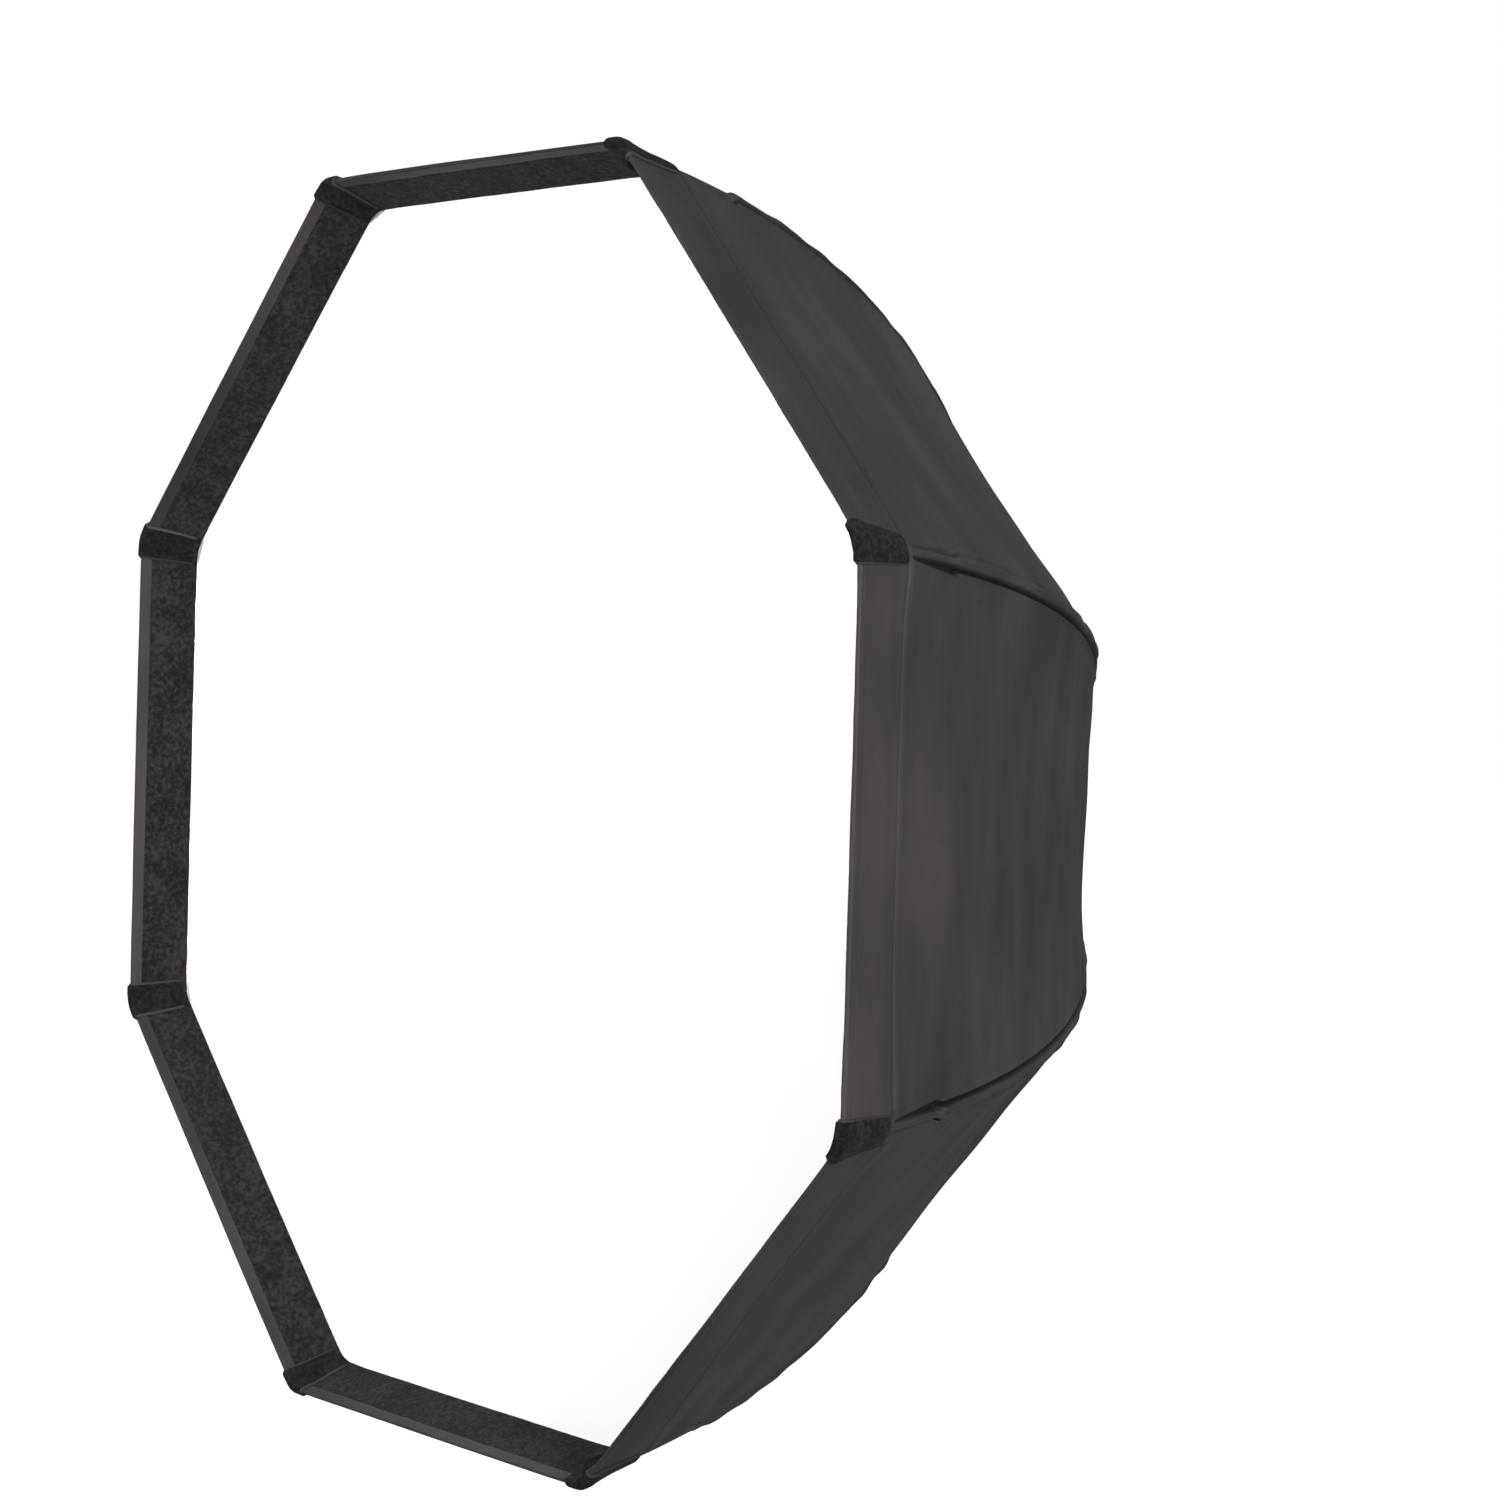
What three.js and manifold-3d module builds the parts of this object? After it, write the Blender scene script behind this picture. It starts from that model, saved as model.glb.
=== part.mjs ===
// A folding octagonal softbox ("octabox"), 1200 mm from corner to corner.
//
// Eight curved ribs turn on clevis brackets round a speed ring, and spread a cloth shell.
// A runner disc slides on a central shaft and pushes eight struts against the ribs, as in an
// umbrella. A white diffuser closes the front, 49 mm behind the rim.
//
// Millimetres, +Z up, the open front faces -Y. The origin is the centre of the rear face of
// the mounting insert. "Ahead" is the distance in front of the plane of the rib pivots.

import * as THREE from 'three';
import { mergeVertices } from 'three/addons/utils/BufferGeometryUtils.js';
import Module from 'manifold-3d';

const wasm = await Module();
wasm.setup();

// ---- driving dimensions ----

const RIBS = 8;
const STEP = (2 * Math.PI) / RIBS;
const FIRST_RIB = STEP / 2;
const TOUCH = 0.3; // gap between pieces that touch
const RUN = 0.6; // gap between pieces that move past each other

const RIM_R = 600; // centre to corner, at the front rim
const RIM_AHEAD = 580;
const REAR = 20; // rear face of the insert to the plane of the rib pivots
const PIVOT_R = 81.5;

const RIM_ANGLE = THREE.MathUtils.degToRad(14); // shell against the axis, at the rim
const ROOT_ANGLE = THREE.MathUtils.degToRad(75); // the same at the pivots
const RIM_PULL = 202; // lengths of the shell curve's two handles
const ROOT_PULL = 402;

const CLOTH = 2; // shell thickness
const RIB_DEPTH = 8.5; // shell's outer face to the middle of a rib
const HEM_R = 97; // shell's rear opening, at the corners
const DIFFUSER_BACK = 49; // rim to the diffuser's front face
const DIFFUSER_THICK = 1.5;

const RIB_ROD = 3; // radius
const RIB_TIP_BACK = 14; // rim to the tip of a rib
const EYE_R = 4.2;
const EYE_WIDE = 8;
const PIVOT_PIN = 2; // radius

const RING_IN = 58.6;
const RING_OUT = 76;
const RING_BACK = -13.6; // rear and front faces of the speed ring, ahead of the pivots
const RING_FRONT = 8;
const BORE_R = 49; // opening that the flash tube enters through

const SHAFT_R = 4;
const SHAFT_END = 258;
const RUNNER_R = 28.5;
const RUNNER_AHEAD = 100; // middle of the disc, when the box is open
const RUNNER_THICK = 9;
const RUNNER_PIVOT_R = 25;
const STRUT_ROD = 1.75;
const STRUT_SIDE = 5.9; // struts lie beside the ribs, this far along +Z of each rib
const STRUT_EYE_WIDE = 3;
const JOINT_ALONG = 119; // rib pivot to strut joint

// ---- helpers ----

const yOf = (ahead) => -(REAR + ahead);

function outward(geometry) {
  // turns a closed mesh inside out if its faces look inwards
  const p = geometry.attributes.position;
  const index = geometry.index.array;
  const [a, b, c] = [new THREE.Vector3(), new THREE.Vector3(), new THREE.Vector3()];
  let volume = 0;
  for (let i = 0; i < index.length; i += 3) {
    a.fromBufferAttribute(p, index[i]);
    b.fromBufferAttribute(p, index[i + 1]);
    c.fromBufferAttribute(p, index[i + 2]);
    volume += a.dot(b.cross(c));
  }
  if (volume < 0) {
    for (let i = 0; i < index.length; i += 3) {
      [index[i], index[i + 1]] = [index[i + 1], index[i]];
    }
  }
  return geometry;
}

function solid(geometry) {
  const g = geometry.clone();
  g.deleteAttribute('normal');
  g.deleteAttribute('uv');
  const merged = outward(mergeVertices(g, 1e-4));
  return new wasm.Manifold(new wasm.Mesh({
    numProp: 3,
    vertProperties: new Float32Array(merged.attributes.position.array),
    triVerts: new Uint32Array(merged.index.array),
  }));
}

const join = (...solids) => solids.reduce((whole, s) => whole.add(s));
const cut = (whole, ...tools) => tools.reduce((left, t) => left.subtract(t), whole);

function node(name, body, material) {
  const { numProp, vertProperties, triVerts } = body.getMesh();
  const points = new Float32Array((vertProperties.length / numProp) * 3);
  for (let i = 0; i < points.length / 3; i++) {
    points.set(vertProperties.subarray(i * numProp, i * numProp + 3), i * 3);
  }
  const geometry = new THREE.BufferGeometry();
  geometry.setAttribute('position', new THREE.BufferAttribute(points, 3));
  geometry.setIndex(new THREE.BufferAttribute(new Uint32Array(triVerts), 1));
  geometry.computeVertexNormals();
  const mesh = new THREE.Mesh(geometry, material.clone());
  mesh.name = name;
  return mesh;
}

// a ring about the Y axis, from [radius, ahead] corners
function turned(corners, sides, firstCorner = 0) {
  const profile = [...corners, corners[0]].map(([r, ahead]) => new THREE.Vector2(r, yOf(ahead)));
  return solid(new THREE.LatheGeometry(profile, sides, firstCorner));
}

// the same, solid to the axis: the corners start and end at radius 0
function turnedBar(corners, sides) {
  const profile = corners.map(([r, ahead]) => new THREE.Vector2(r, yOf(ahead)));
  return solid(new THREE.LatheGeometry(profile, sides));
}

// a plate square to the Y axis, from a shape in X and Z
function plate(shape, aheadFrom, aheadTo) {
  const depth = aheadTo - aheadFrom;
  const g = new THREE.ExtrudeGeometry(shape, { depth, bevelEnabled: false, curveSegments: 24 });
  g.rotateX(Math.PI / 2);
  g.translate(0, yOf(aheadFrom), 0);
  return solid(g);
}

function block(x0, x1, ahead0, ahead1, z0, z1) {
  const g = new THREE.BoxGeometry(x1 - x0, ahead1 - ahead0, z1 - z0);
  g.translate((x0 + x1) / 2, yOf((ahead0 + ahead1) / 2), (z0 + z1) / 2);
  return solid(g);
}

// a pin along Z, from z0 to z1, through radius r and a distance ahead
function crossPin(radius, r, ahead, z0, z1, sides = 12) {
  const g = new THREE.CylinderGeometry(radius, radius, z1 - z0, sides);
  g.rotateX(Math.PI / 2);
  g.translate(r, yOf(ahead), (z0 + z1) / 2);
  return solid(g);
}

// a pin along X, from x0 to x1
function radialPin(radius, x0, x1, ahead, sides = 14) {
  const g = new THREE.CylinderGeometry(radius, radius, x1 - x0, sides);
  g.rotateZ(Math.PI / 2);
  g.translate((x0 + x1) / 2, yOf(ahead), 0);
  return solid(g);
}

function roundBar(points, radius, sides, steps) {
  const section = new THREE.Shape();
  for (let i = 0; i < sides; i++) {
    const turn = (2 * Math.PI * i) / sides;
    const [x, y] = [radius * Math.cos(turn), radius * Math.sin(turn)];
    if (i === 0) section.moveTo(x, y);
    else section.lineTo(x, y);
  }
  const extrudePath = new THREE.CatmullRomCurve3(points);
  return solid(new THREE.ExtrudeGeometry(section, { steps, extrudePath, bevelEnabled: false }));
}

const turnY = (body, angle) => body.rotate([0, THREE.MathUtils.radToDeg(angle), 0]);
const around = (count, first, make) =>
  Array.from({ length: count }, (_, k) => turnY(make(), -(first + (k * 2 * Math.PI) / count)));

// ---- the shell's curve, in a plane through the axis: x is the radius, y is the object's Y ----

function shellCurve() {
  const rootDir = new THREE.Vector2(Math.sin(ROOT_ANGLE), -Math.cos(ROOT_ANGLE));
  const rimDir = new THREE.Vector2(Math.sin(RIM_ANGLE), -Math.cos(RIM_ANGLE));
  const outside = new THREE.Vector2(Math.cos(ROOT_ANGLE), Math.sin(ROOT_ANGLE));
  const root = new THREE.Vector2(PIVOT_R, yOf(0)).addScaledVector(outside, RIB_DEPTH);
  const rim = new THREE.Vector2(RIM_R, yOf(RIM_AHEAD));
  return new THREE.CubicBezierCurve(
    root,
    root.clone().addScaledVector(rootDir, ROOT_PULL),
    rim.clone().addScaledVector(rimDir, -RIM_PULL),
    rim,
  );
}

const SHELL = shellCurve();

// a point of the shell's outer face, or as deep inside it as asked
function shellPoint(t, depth = 0) {
  const p = SHELL.getPoint(t);
  const along = SHELL.getTangent(t);
  return new THREE.Vector2(p.x + along.y * depth, p.y - along.x * depth);
}

// where the shell curve passes a test that is false at its root and true at its rim
function shellAt(passed) {
  let [low, high] = [0, 1];
  for (let i = 0; i < 40; i++) {
    const middle = (low + high) / 2;
    if (passed(SHELL.getPoint(middle), middle)) high = middle;
    else low = middle;
  }
  return high;
}

const atRadius = (r) => shellAt((p) => p.x >= r);
const atBack = (back) => shellAt((p) => -p.y >= REAR + RIM_AHEAD - back);

function stretch(from, to, steps, depth) {
  return Array.from({ length: steps + 1 }, (_, i) => {
    const p = shellPoint(from + ((to - from) * i) / steps, depth);
    return [p.x, -p.y - REAR];
  });
}

// where a rib's centre line is this far from its pivot
const atReach = (reach) => shellAt((_, t) => {
  const p = shellPoint(t, RIB_DEPTH);
  return Math.hypot(p.x - PIVOT_R, p.y - yOf(0)) >= reach;
});

const JOINT_T = atReach(JOINT_ALONG);
const JOINT = shellPoint(JOINT_T, RIB_DEPTH);

// ---- materials ----

const finish = (color, roughness, metalness) =>
  new THREE.MeshStandardMaterial({ color, roughness, metalness });
const blackCloth = finish(0x3d3a3b, 0.75, 0);
const blackLoop = finish(0x222021, 0.95, 0);
const whiteCloth = finish(0xfafafa, 0.8, 0);
const steel = finish(0xc4c6c8, 0.3, 1);
const alloy = finish(0xa9abae, 0.38, 1);
const whiteTape = finish(0xe8e8ea, 0.6, 0);
const blackPlastic = finish(0x1c1c1e, 0.5, 0);

// ---- the mount and the speed ring ----

const RING_SIDES = 48;
const FLANGE_R = 72;
const FLANGE_GAP = 0.4; // insert's flange to the speed ring's rear face
const CLAWS = 3;
const CLAW_HALF = THREE.MathUtils.degToRad(19);
const CLAW_DEEP = 3; // into the bore, and along the axis

function mountInsert() {
  const flangeFront = RING_BACK - FLANGE_GAP;
  const barrelR = RING_IN - RUN;
  const body = turned([
    [BORE_R, -REAR], [FLANGE_R - 1.5, -REAR], [FLANGE_R, -REAR + 1.5], [FLANGE_R, flangeFront],
    [barrelR, flangeFront], [barrelR, RING_FRONT], [BORE_R, RING_FRONT],
  ], RING_SIDES);
  const claw = () => {
    const s = new THREE.Shape();
    s.absarc(0, 0, BORE_R + 1, -CLAW_HALF, CLAW_HALF, false);
    s.absarc(0, 0, BORE_R - CLAW_DEEP, CLAW_HALF, -CLAW_HALF, true);
    return plate(s, -REAR, -REAR + CLAW_DEEP);
  };
  return join(body, ...around(CLAWS, Math.PI / 2, claw));
}

function speedRing() {
  const body = turned([
    [RING_IN, RING_BACK], [RING_OUT - 1.5, RING_BACK], [RING_OUT, RING_BACK + 1.5],
    [RING_OUT, -4], [RING_OUT - 1.5, -2.5], [RING_OUT - 1.5, 2.5], [RING_OUT, 4],
    [RING_OUT, RING_FRONT - 1], [RING_OUT - 1, RING_FRONT], [RING_IN, RING_FRONT],
  ], RING_SIDES);
  return cut(body, radialPin(LOCK_STEM + TOUCH, RING_IN - 4, RING_OUT + 4, LOCK_AHEAD));
}

const RETAINER_R = 60;
const RETAINER_FRONT = RING_FRONT + 2.2;
const RETAINER_SCREWS_R = 54.8;

function retainingRing() {
  const [back, front] = [RING_FRONT + TOUCH, RETAINER_FRONT];
  const body = turned([
    [BORE_R + 1, back], [RETAINER_R, back], [RETAINER_R, front - 0.6],
    [RETAINER_R - 0.6, front], [BORE_R + 1, front],
  ], RING_SIDES);
  const screw = () => {
    const g = new THREE.CylinderGeometry(1.5, 1.9, 0.8, 8);
    g.translate(RETAINER_SCREWS_R, yOf(front + 0.1), 0);
    return solid(g);
  };
  return join(body, ...around(8, 0, screw));
}

const LOCK_AHEAD = -9;
const LOCK_STEM = 2;
const KNOB_IN = 98;
const KNOB_LONG = 11;
const KNOB_LOBES = 6;

function lockScrew() {
  const knob = new THREE.Shape();
  for (let i = 0; i <= KNOB_LOBES * 8; i++) {
    const turn = (2 * Math.PI * i) / (KNOB_LOBES * 8);
    const r = 5.1 + 0.4 * Math.cos(KNOB_LOBES * turn);
    if (i === 0) knob.moveTo(r, 0);
    else knob.lineTo(r * Math.cos(turn), r * Math.sin(turn));
  }
  const g = new THREE.ExtrudeGeometry(knob, { depth: KNOB_LONG, bevelEnabled: false });
  g.rotateY(Math.PI / 2);
  g.translate(KNOB_IN, yOf(LOCK_AHEAD), 0);
  const stem = radialPin(LOCK_STEM, RING_IN - RUN + TOUCH, KNOB_IN + 1, LOCK_AHEAD, 16);
  return join(solid(g), stem);
}

// ---- clevis brackets, ribs and loops: each made at angle 0, with +X outwards ----

const LUG_IN = EYE_WIDE / 2 + RUN;
const LUG_OUT = LUG_IN + 4;
const LUG_R = 3.8;
const BASE_IN = 67.5; // bracket's base plate, and its two screws
const BASE_THICK = 2.2;
const BASE_SCREWS_R = 71.5;
const BASE_SCREWS_Z = 5.5;

function bracket() {
  const back = RING_FRONT + TOUCH;
  const front = back + BASE_THICK;
  const base = block(BASE_IN, RING_OUT + 1, back, front, -LUG_OUT - 1.5, LUG_OUT + 1.5);
  const lug = (z0, z1) => join(
    block(RING_OUT + 0.5, PIVOT_R + LUG_R, 0, front, z0, z1),
    block(RING_OUT + 0.5, PIVOT_R, -LUG_R, 0.5, z0, z1),
    crossPin(LUG_R, PIVOT_R, 0, z0, z1, 14),
  );
  const screw = (z) => {
    const g = new THREE.CylinderGeometry(1.6, 2, 1.2, 8);
    g.rotateX(Math.PI);
    g.translate(BASE_SCREWS_R, yOf(front + 0.4), z);
    return solid(g);
  };
  return join(
    base,
    lug(LUG_IN, LUG_OUT),
    lug(-LUG_OUT, -LUG_IN),
    crossPin(PIVOT_PIN, PIVOT_R, 0, -LUG_OUT - 0.8, LUG_OUT + 0.8, 10),
    screw(BASE_SCREWS_Z),
    screw(-BASE_SCREWS_Z),
  );
}

const ribPoint = (t) => {
  const p = shellPoint(t, RIB_DEPTH);
  return new THREE.Vector3(p.x, p.y, 0);
};

function rib() {
  const rootT = atReach(PIVOT_PIN + 0.9);
  const tipT = atBack(RIB_TIP_BACK);
  const steps = 14;
  const line = Array.from({ length: steps + 1 }, (_, i) =>
    ribPoint(rootT + ((tipT - rootT) * i) / steps));
  const rod = roundBar(line, RIB_ROD, 8, steps);
  const eye = crossPin(EYE_R, PIVOT_R, 0, -EYE_WIDE / 2, EYE_WIDE / 2, 14);
  const bore = crossPin(PIVOT_PIN + TOUCH, PIVOT_R, 0, -EYE_WIDE, EYE_WIDE, 10);
  const along = SHELL.getTangent(JOINT_T);
  const collar = solid(new THREE.CylinderGeometry(3.6, 3.6, 12, 8)
    .rotateZ(Math.atan2(along.y, along.x) - Math.PI / 2)
    .translate(JOINT.x, JOINT.y, 0));
  const rivet = crossPin(1.6, JOINT.x, -JOINT.y - REAR, 0, 4, 8);
  return join(cut(join(rod, eye), bore), collar, rivet);
}

const LOOP_R = 127; // middle of a loop from the axis
const LOOP_LONG = 18;

function ribLoop() {
  const t = atRadius(LOOP_R);
  const along = SHELL.getTangent(t);
  const middle = shellPoint(t, RIB_DEPTH);
  const turn = Math.atan2(along.y, along.x) - Math.PI / 2;
  const place = (g) => solid(g.rotateZ(turn).translate(middle.x, middle.y, 0));
  const outer = place(new THREE.CylinderGeometry(5.2, 5.2, LOOP_LONG, 16));
  const hole = place(new THREE.CylinderGeometry(RIB_ROD + 0.7, RIB_ROD + 0.7, LOOP_LONG + 2, 12));
  return cut(outer, hole);
}

// ---- struts ----

function strut() {
  const inner = new THREE.Vector2(RUNNER_PIVOT_R, yOf(RUNNER_AHEAD));
  const along = JOINT.clone().sub(inner);
  const eye = (at) => crossPin(
    3.2, at.x, -at.y - REAR, STRUT_SIDE - STRUT_EYE_WIDE / 2, STRUT_SIDE + STRUT_EYE_WIDE / 2);
  const rod = solid(new THREE.CylinderGeometry(STRUT_ROD, STRUT_ROD, along.length() - 4, 8)
    .rotateZ(Math.atan2(along.y, along.x) - Math.PI / 2)
    .translate((inner.x + JOINT.x) / 2, (inner.y + JOINT.y) / 2, STRUT_SIDE));
  const head = crossPin(
    1.8, JOINT.x, -JOINT.y - REAR, STRUT_SIDE, STRUT_SIDE + STRUT_EYE_WIDE / 2 + 1, 8);
  const bore = crossPin(RUNNER_PIN + TOUCH, inner.x, RUNNER_AHEAD, 0, 2 * STRUT_SIDE, 10);
  return join(cut(join(rod, eye(inner)), bore), eye(JOINT), head);
}

// ---- bridge, shaft and runner ----

const BRIDGE_BACK = 11.3; // clears the retaining ring's screws as the insert turns
const BRIDGE_THICK = 3;
const BRIDGE_HALF = 6;
const FOOT_IN = 61;
const FOOT_OUT = 67;
const HUB_R = 12;

function bridge() {
  const front = BRIDGE_BACK + BRIDGE_THICK;
  const arm = () => join(
    block(SHAFT_R, FOOT_OUT, BRIDGE_BACK, front, -BRIDGE_HALF, BRIDGE_HALF),
    block(FOOT_IN, FOOT_OUT, RING_FRONT + TOUCH, front, -BRIDGE_HALF, BRIDGE_HALF),
    solid(new THREE.CylinderGeometry(1.8, 2.2, 1.2, 12).rotateX(Math.PI)
      .translate((FOOT_IN + FOOT_OUT) / 2, yOf(front + 0.4), 0)),
  );
  const hub = turnedBar([
    [0, BRIDGE_BACK], [HUB_R, BRIDGE_BACK], [HUB_R, 20.5], [HUB_R - 2, 22.5], [0, 22.5],
  ], 32);
  const hole = turnedBar([[0, 0], [SHAFT_R + TOUCH, 0], [SHAFT_R + TOUCH, 40], [0, 40]], 24);
  return cut(join(hub, ...around(4, FIRST_RIB, arm)), hole);
}

const NUT_R = 7;
const NUT_THICK = 5;

function shaft() {
  const nutFront = BRIDGE_BACK - TOUCH;
  const nutBack = nutFront - NUT_THICK;
  return turnedBar([
    [0, nutBack - 2], [SHAFT_R, nutBack - 2], [SHAFT_R, nutBack], [NUT_R, nutBack],
    [NUT_R, nutFront], [SHAFT_R, nutFront], [SHAFT_R, SHAFT_END - 3],
    [SHAFT_R - 0.8, SHAFT_END - 1.2], [SHAFT_R - 2, SHAFT_END - 0.3], [0, SHAFT_END],
  ], 24);
}

const RUNNER_PIN = 1.2;
const COLLAR_R = 14;
const COLLAR_FRONT = 9; // collar's front face, ahead of the disc's front face
const BUTTON_R = 2.5;

function runner() {
  const back = RUNNER_AHEAD - RUNNER_THICK / 2;
  const front = RUNNER_AHEAD + RUNNER_THICK / 2;
  const bore = SHAFT_R + 0.4;
  const body = turned([
    [bore, back - 12], [10, back - 12], [11, back - 11], [11, back], [RUNNER_R - 1, back],
    [RUNNER_R, back + 1], [RUNNER_R, front - 1], [RUNNER_R - 1, front], [19, front],
    [19, front + 2], [COLLAR_R, front + 2], [COLLAR_R, front + COLLAR_FRONT - 1],
    [COLLAR_R - 1, front + COLLAR_FRONT], [bore, front + COLLAR_FRONT],
  ], 32);
  const half = STRUT_EYE_WIDE / 2 + 0.5;
  const slotFrom = RUNNER_PIVOT_R - 4;
  const slot = () => block(
    slotFrom, RUNNER_R + 4, back - 1, front + 1, STRUT_SIDE - half, STRUT_SIDE + half);
  const pin = () => crossPin(
    RUNNER_PIN, RUNNER_PIVOT_R, RUNNER_AHEAD, STRUT_SIDE - half - 1, STRUT_SIDE + half + 1, 8);
  const screw = () => {
    const g = new THREE.CylinderGeometry(1.6, 2, 1.4, 8).rotateX(Math.PI);
    return solid(g.translate(22.6, yOf(front + 0.4), 0));
  };
  const pocket = radialPin(BUTTON_R + TOUCH, 7, COLLAR_R + 4, front + BUTTON_AHEAD);
  return cut(join(
    cut(body, ...around(RIBS, FIRST_RIB, slot)),
    ...around(RIBS, FIRST_RIB, pin),
    ...around(4, 0, screw),
  ), pocket);
}

const BUTTON_AHEAD = 5;

function releaseButton() {
  const ahead = RUNNER_AHEAD + RUNNER_THICK / 2 + BUTTON_AHEAD;
  return join(
    radialPin(BUTTON_R, 9.6, COLLAR_R + 2.4, ahead),
    radialPin(BUTTON_R - 0.5, COLLAR_R, COLLAR_R + 3, ahead),
  );
}

// ---- cloth ----

const CORNER = Math.PI / 2; // turns a lathe's first corner to +X

// one eighth of the shell: half a panel on each side of a rib
function gore() {
  const [from, steps] = [atRadius(HEM_R), 14];
  const profile = [
    ...stretch(from, 1, steps, 0),
    ...stretch(from, 1, steps, CLOTH).reverse(),
  ];
  const whole = turned(profile, RIBS, CORNER);
  const far = 2 * RIM_R;
  const wedge = new THREE.Shape();
  wedge.moveTo(TOUCH / Math.sin(STEP / 2), 0);
  wedge.lineTo(far, (far - TOUCH / Math.sin(STEP / 2)) * Math.tan(STEP / 2));
  wedge.lineTo(far, -(far - TOUCH / Math.sin(STEP / 2)) * Math.tan(STEP / 2));
  wedge.closePath();
  return whole.intersect(plate(wedge, -REAR, RIM_AHEAD + REAR));
}

const TAB_WIDE = 37;
const TAB_BACK = 61;
const TAB_THICK = 2;

// a tab wraps over the rim: a leg outside the shell, a fold in front and a leg inside
function tab() {
  const gap = 0.4;
  const front = RIM_AHEAD + CLOTH * Math.sin(RIM_ANGLE) + gap;
  const leg = (back, depth) => stretch(atBack(back), 1, 2, depth);
  const reach = (depth, ahead) => [shellPoint(1, depth).x, ahead];
  const innerBack = DIFFUSER_BACK - 6;
  const profile = [
    ...leg(TAB_BACK, -gap - TAB_THICK).slice(0, -1),
    reach(-gap - TAB_THICK, front + TAB_THICK - 0.6),
    reach(-gap - TAB_THICK + 0.8, front + TAB_THICK),
    reach(CLOTH + gap + TAB_THICK - 0.8, front + TAB_THICK),
    reach(CLOTH + gap + TAB_THICK, front + TAB_THICK - 0.6),
    ...leg(innerBack, CLOTH + gap + TAB_THICK).slice(0, -1).reverse(),
    ...leg(innerBack, CLOTH + gap).slice(0, -1),
    reach(CLOTH + gap, front),
    reach(-gap, front),
    ...leg(TAB_BACK, -gap).slice(0, -1).reverse(),
  ];
  const whole = turned(profile, RIBS, CORNER);
  return whole.intersect(block(
    RIM_R / 2, RIM_R + 50, RIM_AHEAD - 2 * TAB_BACK, RIM_AHEAD + 20, -TAB_WIDE / 2, TAB_WIDE / 2));
}

function diffuser() {
  const outer = ribPoint(atBack(DIFFUSER_BACK + DIFFUSER_THICK)).x - RIB_ROD - 2 * RUN;
  const s = new THREE.Shape();
  for (let k = 0; k < RIBS; k++) {
    const turn = FIRST_RIB + k * STEP;
    const [x, z] = [outer * Math.cos(turn), outer * Math.sin(turn)];
    if (k === 0) s.moveTo(x, z);
    else s.lineTo(x, z);
  }
  s.closePath();
  const front = RIM_AHEAD - DIFFUSER_BACK;
  return plate(s, front - DIFFUSER_THICK, front);
}

function rearBinding() {
  return turned([
    [89.6, -5.6], [90.4, -6.4], [94.9, -6.4], [95.7, -5.6], [95.7, -2.8], [94.9, -2],
    [90.4, -2], [89.6, -2.8],
  ], RIBS, CORNER + STEP / 2);
}

// ---- assembly ----

const octabox = new THREE.Group();
octabox.name = 'octabox';

octabox.add(
  node('mount_insert', mountInsert(), alloy),
  node('retaining_ring', retainingRing(), alloy),
  node('speed_ring', speedRing(), alloy),
  node('lock_screw', lockScrew(), blackPlastic),
  node('bridge', bridge(), alloy),
  node('shaft', shaft(), steel),
  node('runner', runner(), alloy),
  node('release_button', releaseButton(), steel),
  node('rear_binding', rearBinding(), blackLoop),
  node('diffuser', diffuser(), whiteCloth),
);

const [bracketSolid, ribSolid, strutSolid] = [bracket(), rib(), strut()];
const [goreSolid, tabSolid, loopSolid] = [gore(), tab(), ribLoop()];

for (let k = 0; k < RIBS; k++) {
  const arm = new THREE.Group();
  arm.rotation.y = -(FIRST_RIB + k * STEP);
  const n = k + 1;
  arm.add(
    node(`bracket_${n}`, bracketSolid, alloy),
    node(`rib_${n}`, ribSolid, steel),
    node(`strut_${n}`, strutSolid, steel),
    node(`gore_${n}`, goreSolid, blackCloth),
    node(`tab_${n}`, tabSolid, blackLoop),
  );
  if (n % 2 === 0) arm.add(node(`rib_loop_${n}`, loopSolid, whiteTape));
  octabox.add(arm);
}

export default octabox;
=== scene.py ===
"""Looks of a folding octagonal softbox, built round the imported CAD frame.

Metres, +Z up, the open front faces -Y. The cloth follows the same curve as the CAD shell:
a Bezier in a plane through the light's axis, from the rib pivots to the front rim.
"""

import math

import bpy
import numpy as np
from mathutils import Matrix, Vector


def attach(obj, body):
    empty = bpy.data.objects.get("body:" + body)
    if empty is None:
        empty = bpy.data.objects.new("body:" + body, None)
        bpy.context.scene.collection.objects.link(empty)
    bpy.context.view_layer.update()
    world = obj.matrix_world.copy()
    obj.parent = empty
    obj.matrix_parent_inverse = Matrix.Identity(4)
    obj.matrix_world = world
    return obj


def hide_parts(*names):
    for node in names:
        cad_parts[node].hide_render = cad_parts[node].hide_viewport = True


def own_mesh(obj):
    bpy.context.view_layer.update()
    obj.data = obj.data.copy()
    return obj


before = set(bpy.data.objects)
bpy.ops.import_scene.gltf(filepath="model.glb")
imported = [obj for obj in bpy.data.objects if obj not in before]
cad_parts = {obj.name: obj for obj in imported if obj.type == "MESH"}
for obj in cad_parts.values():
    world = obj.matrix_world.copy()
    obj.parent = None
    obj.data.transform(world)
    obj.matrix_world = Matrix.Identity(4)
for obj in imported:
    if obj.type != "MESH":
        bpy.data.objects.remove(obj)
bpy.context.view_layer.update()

# ---- sizes shared with the CAD part ----

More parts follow.
